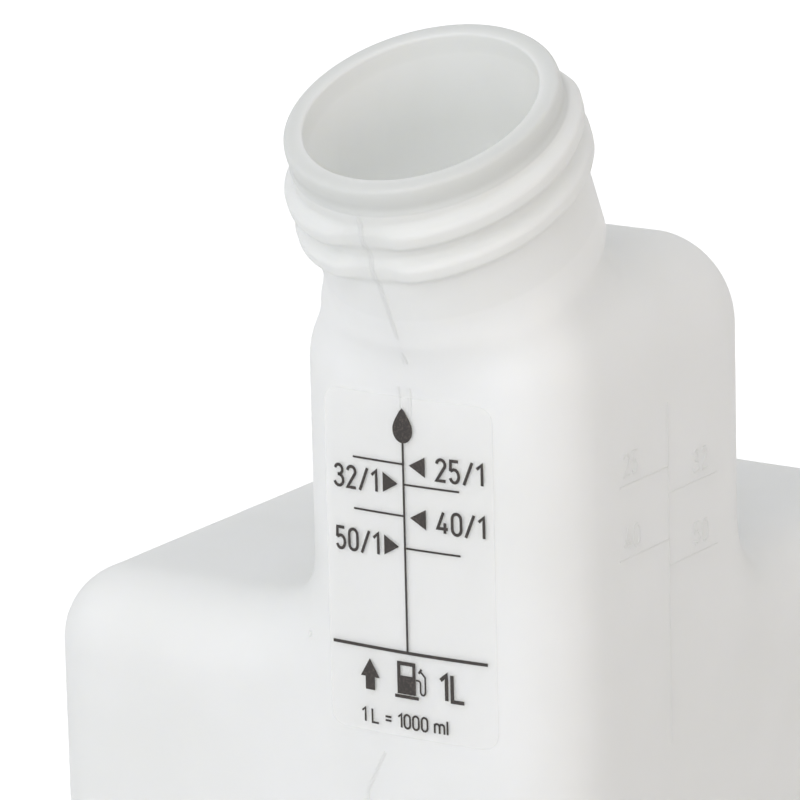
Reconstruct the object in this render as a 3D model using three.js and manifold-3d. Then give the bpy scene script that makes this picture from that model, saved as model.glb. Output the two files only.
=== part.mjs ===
// A blown one litre bottle for mixing fuel and oil: a square body, a measuring tower on its front right
// corner, a threaded neck that leans forward, and a clear label with the scale on the tower's front.
// Millimetres, +Z up. While it is built, x = 0 is the middle of the tower, y = 0 the flat front and
// z = 0 the table. At the end both pieces move so that the bottle stands centred over the origin.
import * as THREE from "three";
import Module from "manifold-3d";

// Lower body
const BODY_WIDTH = 81;
const BODY_DEPTH = 101;
const SHOULDER_Z = 138; // flat top of the lower body
const FRONT_LEFT_CORNER = 9.5;
const FRONT_RIGHT_CORNER = 10;
const BACK_CORNER = 20;
const EDGE_ROUND = 10; // shoulder edge, and the tower's upright corners where they leave the body's faces

// Base
const BASE_ROUND = 6;
const STANDING_RING = 5; // width of the flat ring the bottle stands on
const PUSH_UP = 1.5; // rise of the floor inside that ring
const PUSH_UP_RUN = 2.5; // width of the slope up to it

// Measuring tower, flush with the body's front and right faces
const TOWER_WIDTH = 41;
const TOWER_DEPTH = 50.3;
const TOWER_CORNER = 9.5; // its upright corner at the back left
const TOWER_RISE = 45; // from the shoulder to the top of the hump
const TOWER_TOP_ROUND = 12.5;
const ROOT_FILLET = 7;

// Bulge down the middle of the tower's front
const CROWN_HEIGHT = 1.2;
const CROWN_SPREAD = 16;
const CROWN_FADE_FROM = 45; // height at which the bulge starts to grow
const CROWN_FADE_TO = 95;

// Leaning neck
const NECK_LEAN = THREE.MathUtils.degToRad(25.3);
const NECK_RADIUS = 17.75;
const NECK_FILLET = 5;
const RIM_RISE = 67.2; // from the shoulder to the middle of the rim
const RIM_SETBACK = 2.1; // from the front face to the middle of the rim
const NECK_TAPER_FROM = 24; // depth below the rim where the neck starts to narrow, inside the tower
const NECK_TAPER = 0.5;

// Neck finish, depths measured down the neck from the rim
const MOUTH_RADIUS = 15;
const LAND_RADIUS = 16.3; // outer edge of the flat on top of the rim
const LIP_RADIUS = 17.6;
const LIP_DEPTH = 2.6;
const GROOVE_RADIUS = 17.3;
const GROOVE_DEPTH = 3.6;
const BORE_DEPTH = 9; // the mouth keeps its radius down to here

// Thread, broken at the mould's parting line in front and behind
const THREAD_CREST = 19.35;
const THREAD_SINK = 0.35; // how far the ridge reaches into the neck
const THREAD_PITCH = 5;
const THREAD_WIDTH = 4.3; // foot of the ridge
const THREAD_CREST_WIDTH = 1.5;
const THREAD_TOP_DEPTH = 7.2; // crest where the ridge first passes the front
const THREAD_START = THREE.MathUtils.degToRad(-157); // its upper end, measured from the front
const THREAD_TURNS = 2;
const THREAD_BREAK = THREE.MathUtils.degToRad(11); // half the width of the flat at the parting line
const THREAD_BREAK_HEIGHT = 0.3; // share of the ridge that stays there
const THREAD_RUN_OUT = THREE.MathUtils.degToRad(28);

const WALL = 1.2;

// Label, a clear film with rounded corners
const LABEL_WIDTH = 24.9;
const LABEL_HEIGHT = 44.2;
const LABEL_TOP_RISE = 30.8; // its top edge above the shoulder
const LABEL_ASIDE = -1; // its middle, from the middle of the tower
const LABEL_CORNER = 2;
const LABEL_THICKNESS = 0.2;
const LABEL_GAP = 0.1;

const RIGHT = TOWER_WIDTH / 2;
const LEFT = RIGHT - BODY_WIDTH;
const SPINE_Y = TOWER_DEPTH / 2; // the rings of points are cast from an upright line here
const TOWER_LOW = SHOULDER_Z + TOWER_RISE * 0.48; // above the root fillet, below the rounded top
const CONE_DROP = 30; // the cones of points over the shoulder start this far below it
const NECK_FOOT_DEPTH = RIM_RISE * 0.47;
const RIM_CENTRE = new THREE.Vector3(0, RIM_SETBACK, SHOULDER_Z + RIM_RISE);
const NECK_AXIS = new THREE.Vector3(0, -Math.sin(NECK_LEAN), Math.cos(NECK_LEAN));

const smooth = (v, from, to) => THREE.MathUtils.smoothstep(v, from, to);

// Signed distances: below nought inside. Two shapes meet in a rounded edge or a rounded fillet.
function roundedMeet(a, b, radius) {
  return Math.min(-radius, Math.max(a, b)) + Math.hypot(Math.max(radius + a, 0), Math.max(radius + b, 0));
}

function filletedJoin(a, b, radius) {
  return Math.max(radius, Math.min(a, b)) - Math.hypot(Math.max(radius - a, 0), Math.max(radius - b, 0));
}

// How far the front stands out at one place because of the bulge.
function crownAt(x, z) {
  return CROWN_HEIGHT * Math.exp(-((x / CROWN_SPREAD) ** 2)) * smooth(z, CROWN_FADE_FROM, CROWN_FADE_TO);
}

// Distance in plan to the body's outline, a rectangle with its own radius at each corner.
function bodyOutline(x, y) {
  const dx = x - (LEFT + RIGHT) / 2;
  const dy = y - BODY_DEPTH / 2;
  const front = dx < 0 ? FRONT_LEFT_CORNER : FRONT_RIGHT_CORNER;
  const radius = dy < 0 ? front : BACK_CORNER;
  const qx = Math.abs(dx) - BODY_WIDTH / 2 + radius;
  const qy = Math.abs(dy) - BODY_DEPTH / 2 + radius;
  return Math.min(Math.max(qx, qy), 0) + Math.hypot(Math.max(qx, 0), Math.max(qy, 0)) - radius;
}

// The part of the body that may rise over the shoulder: left and back faces of the tower.
function towerQuarter(x, y) {
  return roundedMeet(-RIGHT - x, y - TOWER_DEPTH, TOWER_CORNER);
}

function neckAt(point) {
  const offset = point.clone().sub(RIM_CENTRE);
  const depth = -offset.dot(NECK_AXIS);
  const radius = NECK_RADIUS - NECK_TAPER * Math.max(depth - NECK_TAPER_FROM, 0);
  return offset.addScaledVector(NECK_AXIS, depth).length() - radius;
}

// Distance to the bottle's outside above the base.
function skinAt(point) {
  const { x, y, z } = point;
  const step = filletedJoin(z - SHOULDER_Z, towerQuarter(x, y), ROOT_FILLET);
  const walls = roundedMeet(bodyOutline(x, y + crownAt(x, z)), step, EDGE_ROUND);
  const blown = roundedMeet(walls, z - SHOULDER_Z - TOWER_RISE, TOWER_TOP_ROUND);
  return filletedJoin(blown, neckAt(point), NECK_FILLET);
}

// Goes out from a point inside and returns the place where a distance reaches a level.
function cast(from, direction, distance, level) {
  const reach = BODY_WIDTH + BODY_DEPTH;
  const at = (s) => from.clone().addScaledVector(direction, s);
  let inner = 0;
  let outer = 0;
  while (outer < reach && distance(at(outer)) < level) {
    inner = outer;
    outer += 1.5;
  }
  for (let i = 0; i < 30; i++) {
    const middle = (inner + outer) / 2;
    if (distance(at(middle)) < level) inner = middle;
    else outer = middle;
  }
  return at(outer);
}

// Directions round the spine: through the rounded corners of body and tower, and evenly between them.
function spineAngles() {
  const corners = [
    [LEFT, 0, FRONT_LEFT_CORNER, 6],
    [RIGHT, 0, FRONT_RIGHT_CORNER, 6],
    [LEFT, BODY_DEPTH, BACK_CORNER, 8],
    [RIGHT, BODY_DEPTH, BACK_CORNER, 7],
    [-RIGHT, 0, EDGE_ROUND, 5],
    [-RIGHT, TOWER_DEPTH, TOWER_CORNER, 5],
    [RIGHT, TOWER_DEPTH, EDGE_ROUND, 5],
  ];
  const wanted = corners.flatMap((corner) => cornerAngles(...corner));
  for (let i = 0; i < 8; i++) wanted.push((i * Math.PI) / 4);
  return evened(wanted.sort((a, b) => a - b), 0.042, 0.17);
}

function cornerAngles(x, y, radius, count) {
  const sideX = x < (LEFT + RIGHT) / 2 || x === -RIGHT ? 1 : -1;
  const sideY = y > 0 ? -1 : 1;
  return Array.from({ length: count }, (_, i) => {
    const turn = ((i / (count - 1)) * Math.PI) / 2;
    const px = x + sideX * radius * (1 - Math.cos(turn));
    const py = y + sideY * radius * (1 - Math.sin(turn)) - SPINE_Y;
    return (Math.atan2(py, px) + 2 * Math.PI) % (2 * Math.PI);
  });
}

// Drops directions closer than the smallest step and fills gaps wider than the largest.
function evened(sorted, smallest, largest) {
  const kept = [sorted[0]];
  for (const angle of sorted) if (angle - kept.at(-1) >= smallest) kept.push(angle);
  if (kept[0] + 2 * Math.PI - kept.at(-1) < smallest) kept.pop();
  return kept.flatMap((angle, i) => {
    const gap = (i + 1 < kept.length ? kept[i + 1] : kept[0] + 2 * Math.PI) - angle;
    const pieces = Math.max(1, Math.ceil(gap / largest));
    return Array.from({ length: pieces }, (_, k) => angle + (gap * k) / pieces);
  });
}

const ANGLES = spineAngles();

// A ring at one height, drawn in from the body's outline by an inset.
function planRing(inset, z) {
  const from = new THREE.Vector3(0, SPINE_Y, z);
  const outline = (p) => bodyOutline(p.x, p.y + crownAt(p.x, z));
  return ANGLES.map((a) => cast(from, new THREE.Vector3(Math.cos(a), Math.sin(a), 0), outline, -inset));
}

// A ring cast from the spine along a cone that climbs by a slope.
function coneRing(z, slope, depth) {
  const from = new THREE.Vector3(0, SPINE_Y, z);
  return ANGLES.map((a) => {
    const direction = new THREE.Vector3(Math.cos(a), Math.sin(a), slope).normalize();
    return cast(from, direction, skinAt, -depth);
  });
}

// A ring cast in a plane that tips backwards about a level line on the front face.
function tippedRing(tip, height, y, depth) {
  const from = new THREE.Vector3(0, y, height + y * Math.tan(tip));
  return ANGLES.map((a) => {
    const direction = new THREE.Vector3(Math.cos(a), Math.sin(a) * Math.cos(tip), Math.sin(a) * Math.sin(tip));
    return cast(from, direction, skinAt, -depth);
  });
}

function neckPoint(angle, depth, radius) {
  const across = new THREE.Vector3(Math.cos(angle), 0, 0);
  const back = new THREE.Vector3(0, Math.cos(NECK_LEAN), Math.sin(NECK_LEAN)).multiplyScalar(Math.sin(angle));
  return RIM_CENTRE.clone().addScaledVector(NECK_AXIS, -depth).addScaledVector(across.add(back), radius);
}

const neckRing = (depth, radius) => ANGLES.map((a) => neckPoint(a, depth, radius));

// Rings of the base, from the middle out: the push-up, the standing ring and the rounded edge.
function baseRings(depth) {
  const ringInner = BASE_ROUND + STANDING_RING;
  const rings = [
    planRing(ringInner + PUSH_UP_RUN, PUSH_UP + depth),
    planRing(ringInner, depth),
  ];
  const radius = BASE_ROUND - depth;
  for (let i = 0; i <= 4; i++) {
    const turn = (i * Math.PI) / 8;
    rings.push(planRing(BASE_ROUND - radius * Math.sin(turn), BASE_ROUND - radius * Math.cos(turn)));
  }
  return rings;
}

// Upright walls, then cones that open over the shoulder and close again up the tower.
function wallRings(depth, shoulderSteps, towerSteps) {
  const low = SHOULDER_Z - CONE_DROP;
  const rings = [CROWN_FADE_FROM, 60, 75, 90, low].map((z) => planRing(depth, z));
  const flattest = (CONE_DROP - EDGE_ROUND) / Math.hypot(LEFT, BODY_DEPTH - SPINE_Y);
  const steepest = CONE_DROP / (0.95 * RIGHT);
  for (let i = 0; i <= shoulderSteps; i++) {
    rings.push(coneRing(low, flattest * (steepest / flattest) ** (i / shoulderSteps), depth));
  }
  for (let i = 1; i <= towerSteps; i++) {
    const share = i / towerSteps;
    rings.push(coneRing(low + (TOWER_LOW - low) * share, steepest * (1 - share), depth));
  }
  return rings;
}

// Planes that tip over the hump until they lie across the neck, cast from the spine and then from its axis.
function humpRings(depth, steps) {
  const neckFoot = RIM_CENTRE.clone().addScaledVector(NECK_AXIS, -NECK_FOOT_DEPTH);
  const footHeight = neckFoot.z - neckFoot.y * Math.tan(NECK_LEAN);
  return Array.from({ length: steps }, (_, i) => {
    const share = (i + 1) / steps;
    const tip = NECK_LEAN * share ** 0.85;
    const height = THREE.MathUtils.lerp(TOWER_LOW, footHeight, share);
    return tippedRing(tip, height, THREE.MathUtils.lerp(SPINE_Y, neckFoot.y, share), depth);
  });
}

// Neck finish from below the thread, over the lip and down the bore.
function finishRings() {
  return [
    neckRing(25, NECK_RADIUS),
    neckRing(18, NECK_RADIUS),
    neckRing(GROOVE_DEPTH + 1, NECK_RADIUS),
    neckRing(GROOVE_DEPTH, GROOVE_RADIUS),
    neckRing(LIP_DEPTH + 0.2, GROOVE_RADIUS),
    neckRing(LIP_DEPTH - 0.3, LIP_RADIUS),
    neckRing(1.3, LIP_RADIUS),
    neckRing(0.5, LIP_RADIUS - 0.35),
    neckRing(0, LAND_RADIUS),
    neckRing(0, MOUTH_RADIUS + 0.4),
    neckRing(0.35, MOUTH_RADIUS),
    neckRing(BORE_DEPTH, MOUTH_RADIUS),
    neckRing(BORE_DEPTH + 5, (MOUTH_RADIUS + NECK_RADIUS - WALL) / 2),
    neckRing(BORE_DEPTH + 9, NECK_RADIUS - WALL),
  ];
}

// Joins rings of equal count into one closed surface with a middle point at either end.
function skinOver(rings, first, last) {
  const count = ANGLES.length;
  const points = [first, ...rings.flat(), last];
  const index = [];
  const at = (ring, i) => 1 + ring * count + (i % count);
  for (let i = 0; i < count; i++) {
    index.push(0, at(0, i + 1), at(0, i));
    for (let r = 0; r + 1 < rings.length; r++) {
      index.push(at(r, i), at(r, i + 1), at(r + 1, i + 1), at(r, i), at(r + 1, i + 1), at(r + 1, i));
    }
    index.push(points.length - 1, at(rings.length - 1, i), at(rings.length - 1, i + 1));
  }
  return surface(points, index);
}

function surface(points, index) {
  const geometry = new THREE.BufferGeometry().setFromPoints(points);
  geometry.setIndex(index);
  return geometry;
}

function shellGeometry() {
  const outside = [...baseRings(0), ...wallRings(0, 12, 6), ...humpRings(0, 12)];
  const inside = [...baseRings(WALL), ...wallRings(WALL, 6, 3), ...humpRings(WALL, 6)].reverse();
  const middle = new THREE.Vector3(0, SPINE_Y, PUSH_UP);
  const above = middle.clone().setZ(PUSH_UP + WALL);
  return skinOver([...outside, ...finishRings(), ...inside], middle, above);
}

// Height of the thread at an angle round the neck: it runs out at both ends and sinks at the parting line.
function threadShare(angle, start, end) {
  const ends = smooth(Math.min(angle - start, end - angle), 0, THREAD_RUN_OUT);
  const toSeam = Math.abs(THREE.MathUtils.euclideanModulo(angle / Math.PI + 0.5, 1) - 0.5) * Math.PI;
  const seam = THREAD_BREAK_HEIGHT + (1 - THREAD_BREAK_HEIGHT) * smooth(toSeam, 0.5 * THREAD_BREAK, 1.6 * THREAD_BREAK);
  return Math.min(ends, seam);
}

// One section of the ridge, a rounded trapezium, at an angle measured from the front.
function threadSection(turned, share) {
  const depth = THREAD_TOP_DEPTH + (THREAD_PITCH * turned) / (2 * Math.PI);
  const foot = NECK_RADIUS - THREAD_SINK;
  const crest = foot + (THREAD_CREST - foot) * share;
  const knee = foot + (crest - foot) * 0.72;
  const profile = [
    [-THREAD_WIDTH / 2, foot],
    [-THREAD_WIDTH * 0.32, knee],
    [-THREAD_CREST_WIDTH / 2, crest],
    [THREAD_CREST_WIDTH / 2, crest],
    [THREAD_WIDTH * 0.32, knee],
    [THREAD_WIDTH / 2, foot],
  ];
  // Seen from above it goes down clockwise, as a right-hand thread does.
  return profile.map(([down, radius]) => neckPoint(-Math.PI / 2 - turned, depth + down, radius));
}

function threadGeometry() {
  const steps = THREAD_TURNS * 36;
  const start = THREAD_START;
  const end = start + THREAD_TURNS * 2 * Math.PI;
  const sections = Array.from({ length: steps + 1 }, (_, i) => {
    const angle = start + ((end - start) * i) / steps;
    return threadSection(angle, Math.max(0.1, threadShare(angle, start, end)));
  });
  return sweptOver(sections.reverse());
}

// Joins equal sections into a closed bar with flat ends.
function sweptOver(sections) {
  const size = sections[0].length;
  const index = [];
  const last = (sections.length - 1) * size;
  for (let s = 0; s + 1 < sections.length; s++) {
    for (let i = 0; i < size; i++) {
      const a = s * size + i;
      const b = s * size + ((i + 1) % size);
      index.push(a, b, b + size, a, b + size, a + size);
    }
  }
  for (let i = 1; i + 1 < size; i++) index.push(0, i + 1, i, last, last + i, last + i + 1);
  return surface(sections.flat(), index);
}

// Half the label's height at a distance from its middle: shorter where the corners are round.
function labelHalfHeight(x) {
  const past = Math.abs(x) - LABEL_WIDTH / 2 + LABEL_CORNER;
  const cut = past > 0 ? LABEL_CORNER - Math.sqrt(Math.max(LABEL_CORNER ** 2 - past ** 2, 0)) : 0;
  return LABEL_HEIGHT / 2 - cut;
}

function labelColumns() {
  const straight = LABEL_WIDTH / 2 - LABEL_CORNER;
  const corner = [90, 67.5, 45, 22.5].map((a) => straight + LABEL_CORNER * Math.sin(THREE.MathUtils.degToRad(a)));
  const inner = Array.from({ length: 13 }, (_, i) => straight * (1 - i / 6));
  return [...corner.map((x) => -x), ...inner.map((x) => -x), ...corner.reverse()];
}

// Each column of the label is a four-cornered section across the film.
function labelGeometry() {
  const middle = SHOULDER_Z + LABEL_TOP_RISE - LABEL_HEIGHT / 2;
  const sections = labelColumns().map((across) => {
    const x = LABEL_ASIDE + across;
    const half = labelHalfHeight(across);
    const back = -crownAt(x, middle) - LABEL_GAP;
    return [
      new THREE.Vector3(x, back, middle - half),
      new THREE.Vector3(x, back, middle + half),
      new THREE.Vector3(x, back - LABEL_THICKNESS, middle + half),
      new THREE.Vector3(x, back - LABEL_THICKNESS, middle - half),
    ];
  });
  return sweptOver(sections);
}

// Manifold-3d joins the thread to the shell.
const wasm = await Module();
wasm.setup();

function solidOf(geometry) {
  return new wasm.Manifold(
    new wasm.Mesh({
      numProp: 3,
      vertProperties: new Float32Array(geometry.getAttribute("position").array),
      triVerts: new Uint32Array(geometry.index.array),
    }),
  );
}

function geometryOf(solid) {
  const mesh = solid.getMesh();
  const positions = new Float32Array(mesh.vertProperties);
  const geometry = new THREE.BufferGeometry();
  geometry.setAttribute("position", new THREE.BufferAttribute(positions, 3));
  geometry.setIndex(new THREE.BufferAttribute(new Uint32Array(mesh.triVerts), 1));
  geometry.computeVertexNormals();
  return geometry;
}

function named(name, geometry, material) {
  const mesh = new THREE.Mesh(geometry, material);
  mesh.name = name;
  return mesh;
}

function bottleGroup() {
  const bottle = geometryOf(solidOf(shellGeometry()).add(solidOf(threadGeometry())));
  bottle.computeBoundingBox();
  const centre = bottle.boundingBox.getCenter(new THREE.Vector3());
  const label = labelGeometry();
  for (const geometry of [bottle, label]) geometry.translate(-centre.x, -centre.y, 0);
  const group = new THREE.Group();
  group.add(named("bottle", bottle, new THREE.MeshStandardMaterial({ color: 0xe9ebe8, roughness: 0.4 })));
  group.add(named("scale_label", label, new THREE.MeshStandardMaterial({ color: 0xf2f3f0, roughness: 0.2 })));
  return group;
}

export default bottleGroup();
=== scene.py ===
"""Looks of a blown one litre bottle for mixing fuel and oil.

The bottle is one milky shell of natural polyethylene with a measuring tower, a neck that leans forward and a
clear label with a printed scale. The shell is built again here from the part's own sizes, with finer rings, a
softer thread and the small marks that its mould left on it. Sizes are millimetres in the mould's frame: x = 0
is the middle of the tower, y = 0 its flat front and z = 0 the table. At the end they turn to metres of the
part.
"""

import logging
import math
from abc import ABC, abstractmethod
from dataclasses import dataclass, field
from enum import Enum
from typing import Callable, Sequence

import bpy
import numpy as np
from mathutils import Matrix, Vector


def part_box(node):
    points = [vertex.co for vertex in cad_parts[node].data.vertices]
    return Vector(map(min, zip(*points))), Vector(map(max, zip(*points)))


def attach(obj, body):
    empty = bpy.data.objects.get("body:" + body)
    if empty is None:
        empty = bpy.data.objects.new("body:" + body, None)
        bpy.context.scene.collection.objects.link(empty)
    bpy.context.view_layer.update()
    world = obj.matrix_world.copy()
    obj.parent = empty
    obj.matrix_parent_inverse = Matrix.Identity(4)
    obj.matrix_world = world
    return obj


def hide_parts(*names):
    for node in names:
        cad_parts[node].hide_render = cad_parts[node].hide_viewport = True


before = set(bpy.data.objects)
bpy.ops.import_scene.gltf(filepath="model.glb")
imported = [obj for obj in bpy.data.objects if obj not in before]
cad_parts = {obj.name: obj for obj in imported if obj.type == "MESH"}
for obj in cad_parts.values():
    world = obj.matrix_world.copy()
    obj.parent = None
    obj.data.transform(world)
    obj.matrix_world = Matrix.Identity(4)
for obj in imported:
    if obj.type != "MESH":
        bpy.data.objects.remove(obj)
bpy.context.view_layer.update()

LOG = logging.getLogger("mixing_bottle")
BODY = "root"
METRES = 0.001
WALL_THICKNESS = "wall_thickness"
WHITE = (1.0, 1.0, 1.0, 1.0)
SHARPEST_MITRE = 0.55
SHORTEST = 1e-6
LITRE_MARK_Z = 135.6

Array = np.ndarray
Point2 = tuple[float, float]
Tree = bpy.types.NodeTree
Socket = bpy.types.NodeSocket
Material = bpy.types.Material
Piece = bpy.types.Object


def linear(colour: str) -> tuple[float, float, float, float]:
    """Turn an sRGB hex colour to linear.

    Args:
        colour: Six hex digits, such as "E9EBE8".

    Returns:
        Linear red, green and blue, and an alpha of 1.
    """
    shares = [int(colour[i : i + 2], 16) / 255 for i in (0, 2, 4)]
    red, green, blue = (s / 12.92 if s <= 0.04045 else ((s + 0.055) / 1.055) ** 2.4 for s in shares)
    return red, green, blue, 1.0


def add_node(tree: Tree, kind: str, settings: dict | None = None, **sockets: object) -> bpy.types.Node:
    """Add one node with its settings, socket values and links.

    Args:
        tree: The node tree.
        kind: The node's type name in Blender.
        settings: Properties of the node itself.
        **sockets: Input sockets by name with _ for a space, or by number after a _. A value is set, and an
            output socket is linked.

    Returns:
        The new node.
    """
    node = tree.nodes.new(kind)
    for name, value in (settings or {}).items():
        setattr(node, name, value)
    for name, value in sockets.items():
        socket = node.inputs[int(name[1:])] if name[1:].isdigit() else node.inputs[name.replace("_", " ")]
        if isinstance(value, Socket):
            tree.links.new(value, socket)
        else:
            socket.default_value = value
    return node


def seen_directly(tree: Tree) -> Socket:
    """Whether a ray comes from the camera, a mirror or clear plastic.

    Args:
        tree: The node tree.

    Returns:
        A socket that is 1 for such rays and 0 for light that falls on the object.
    """
    path = add_node(tree, "ShaderNodeLightPath").outputs
    seen = path["Is Camera Ray"]
    for ray in ("Is Glossy Ray", "Is Transmission Ray"):
        either = add_node(tree, "ShaderNodeMath", {"operation": "MAXIMUM"}, _0=seen, _1=path[ray])
        seen = either.outputs["Value"]
    return seen


def smooth(value: Array, low: float, high: float) -> Array:
    """Rise smoothly from 0 at low to 1 at high."""
    share = np.clip((value - low) / (high - low), 0.0, 1.0)
    return share * share * (3 - 2 * share)


def rounded_meet(a: Array, b: Array, radius: float) -> Array:
    """Join two distances where both shapes hold, with the edge between them rounded."""
    past = np.hypot(np.maximum(radius + a, 0), np.maximum(radius + b, 0))
    return np.minimum(-radius, np.maximum(a, b)) + past


def filleted_join(a: Array, b: Array, radius: float) -> Array:
    """Join two distances where either shape holds, with a fillet between them."""
    short = np.hypot(np.maximum(radius - a, 0), np.maximum(radius - b, 0))
    return np.maximum(radius, np.minimum(a, b)) - short


@dataclass(frozen=True)
class BottleForm:
    """Sizes of the blown form and the distance to its outside."""

    body_width: float = 81.0
    body_depth: float = 101.0
    shoulder_z: float = 138.0
    front_left_corner: float = 9.5
    front_right_corner: float = 10.0
    back_corner: float = 20.0
    edge_round: float = 10.0
    base_round: float = 6.0
    standing_ring: float = 5.0
    push_up: float = 1.5
    push_up_run: float = 2.5
    tower_width: float = 41.0
    tower_depth: float = 50.3
    tower_corner: float = 9.5
    tower_rise: float = 45.0
    tower_top_round: float = 12.5
    root_fillet: float = 7.0
    crown_height: float = 1.2
    crown_spread: float = 16.0
    crown_fade: Point2 = (45.0, 95.0)
    neck_lean: float = math.radians(25.3)
    neck_radius: float = 17.75
    neck_fillet: float = 5.0
    rim_rise: float = 67.2
    rim_setback: float = 2.1
    neck_taper_from: float = 24.0
    neck_taper: float = 0.5
    wall: float = 1.2

    @property
    def right(self) -> float:
        """Place of the tower's and the body's right face."""
        return self.tower_width / 2

    @property
    def left(self) -> float:
        """Place of the body's left face."""
        return self.right - self.body_width

    @property
    def spine_y(self) -> float:
        """Depth of the upright line that the rings of points are cast from."""
        return self.tower_depth / 2

    @property
    def rim_centre(self) -> Array:
        """Middle of the rim."""
        return np.array([0.0, self.rim_setback, self.shoulder_z + self.rim_rise])

    @property
    def neck_axis(self) -> Array:
        """Direction out of the mouth."""
        return np.array([0.0, -math.sin(self.neck_lean), math.cos(self.neck_lean)])

    @property
    def neck_back(self) -> Array:
        """Direction across the neck, from its middle to its back."""
        return np.array([0.0, math.cos(self.neck_lean), math.sin(self.neck_lean)])

    def crown(self, x: Array, z: Array) -> Array:
        """How far the front stands out because of its bulge."""
        return self.crown_height * np.exp(-((x / self.crown_spread) ** 2)) * smooth(z, *self.crown_fade)

    def outline(self, points: Array) -> Array:
        """Distance in plan to the body's outline.

        Args:
            points: Rows of x, y and z.

        Returns:
            One distance a row, below nought inside.
        """
        x, z = points[:, 0], points[:, 2]
        y = points[:, 1] + self.crown(x, z)
        dx = x - (self.left + self.right) / 2
        dy = y - self.body_depth / 2
        front = np.where(dx < 0, self.front_left_corner, self.front_right_corner)
        radius = np.where(dy < 0, front, self.back_corner)
        qx = np.abs(dx) - self.body_width / 2 + radius
        qy = np.abs(dy) - self.body_depth / 2 + radius
        return np.minimum(np.maximum(qx, qy), 0) + np.hypot(np.maximum(qx, 0), np.maximum(qy, 0)) - radius

    def neck(self, points: Array) -> Array:
        """Distance to the neck, which narrows inside the tower.

        Args:
            points: Rows of x, y and z.

        Returns:
            One distance a row, below nought inside.
        """
        offset = points - self.rim_centre
        depth = -offset @ self.neck_axis
        radius = self.neck_radius - self.neck_taper * np.maximum(depth - self.neck_taper_from, 0)
        return np.linalg.norm(offset + depth[:, None] * self.neck_axis, axis=1) - radius

    def skin(self, points: Array) -> Array:
        """Distance to the bottle's outside above the base.

        Args:
            points: Rows of x, y and z.

        Returns:
            One distance a row, below nought inside.
        """
        x, y, z = points.T
        tower = rounded_meet(-self.right - x, y - self.tower_depth, self.tower_corner)
        step = filleted_join(z - self.shoulder_z, tower, self.root_fillet)
        walls = rounded_meet(self.outline(points), step, self.edge_round)
        blown = rounded_meet(walls, z - self.shoulder_z - self.tower_rise, self.tower_top_round)
        return filleted_join(blown, self.neck(points), self.neck_fillet)

    def cast(
        self, origins: Array, directions: Array, distance: Callable[[Array], Array], level: Array
    ) -> Array:
        """Go out from points inside to where a distance reaches a level.

        Args:
            origins: Rows of starting points.
            directions: Rows of unit directions.
            distance: The distance to a shape, for rows of points.
            level: The distance to stop at, one a row.

        Returns:
            Rows of the points that were reached.
        """
        stride, reach, halvings = 1.5, self.body_width + self.body_depth, 24
        inner, outer = np.zeros(len(origins)), np.zeros(len(origins))
        going = np.arange(len(origins))
        while len(going) and outer[going[0]] < reach:
            at = origins[going] + directions[going] * outer[going, None]
            going = going[distance(at) < level[going]]
            inner[going] = outer[going]
            outer[going] += stride
        for _ in range(halvings):
            middle = (inner + outer) / 2
            inside = distance(origins + directions * middle[:, None]) < level
            inner, outer = np.where(inside, middle, inner), np.where(inside, outer, middle)
        return origins + directions * outer[:, None]

    def neck_point(self, angle: Array, depth: Array, radius: Array) -> Array:
        """Points round the neck.

        Args:
            angle: Angle round the neck, a quarter turn below nought at the front.
            depth: Depth down the neck from the rim.
            radius: Distance from the neck's axis.

        Returns:
            An array of points, in its last axis x, y and z.
        """
        angle, depth, radius = np.broadcast_arrays(angle, depth, radius)
        across = np.stack([np.cos(angle), np.zeros_like(angle), np.zeros_like(angle)], -1)
        around = across + np.sin(angle)[..., None] * self.neck_back
        return self.rim_centre - depth[..., None] * self.neck_axis + radius[..., None] * around


@dataclass(frozen=True)
class ThreadForm:
    """The raised screw thread, which sinks where the mould's halves meet."""

    crest: float = 19.35
    pitch: float = 5.0
    width: float = 4.3
    crest_width: float = 1.3
    top_depth: float = 7.2
    start: float = math.radians(-157)
    turns: int = 2
    seam_break: float = math.radians(11)
    seam_fade: Point2 = (0.5, 1.6)
    seam_height: float = 0.3
    run_out: float = math.radians(28)

    def share(self, turned: Array) -> Array:
        """Height of the ridge from 0 to 1 at an angle counted from the front.

        Args:
            turned: The angle, which grows down the thread by a full turn every pitch.

        Returns:
            The height, as a share of the full ridge.
        """
        end = self.start + self.turns * 2 * math.pi
        ends = smooth(np.minimum(turned - self.start, end - turned), 0, self.run_out)
        to_seam = np.abs(np.mod(turned / math.pi + 0.5, 1) - 0.5) * math.pi
        near, clear = (self.seam_break * share for share in self.seam_fade)
        seam = self.seam_height + (1 - self.seam_height) * smooth(to_seam, near, clear)
        return np.minimum(ends, seam)

    def rise(self, angle: Array, depth: Array) -> Array:
        """Height of the ridge from 0 to 1 anywhere on the neck.

        Args:
            angle: Angle round the neck, a quarter turn below nought at the front.
            depth: Depth down the neck from the rim.

        Returns:
            The height, as a share of the full ridge.
        """
        first = np.mod(-math.pi / 2 - angle, 2 * math.pi)
        height = np.zeros(np.broadcast(angle, depth).shape)
        for turn in range(-1, self.turns + 1):
            turned = first + turn * 2 * math.pi
            aside = np.abs(depth - self.top_depth - self.pitch * turned / (2 * math.pi))
            flank = 1 - smooth(aside, self.crest_width / 2, self.width / 2)
            height = np.maximum(height, self.share(turned) * flank)
        return height


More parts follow.
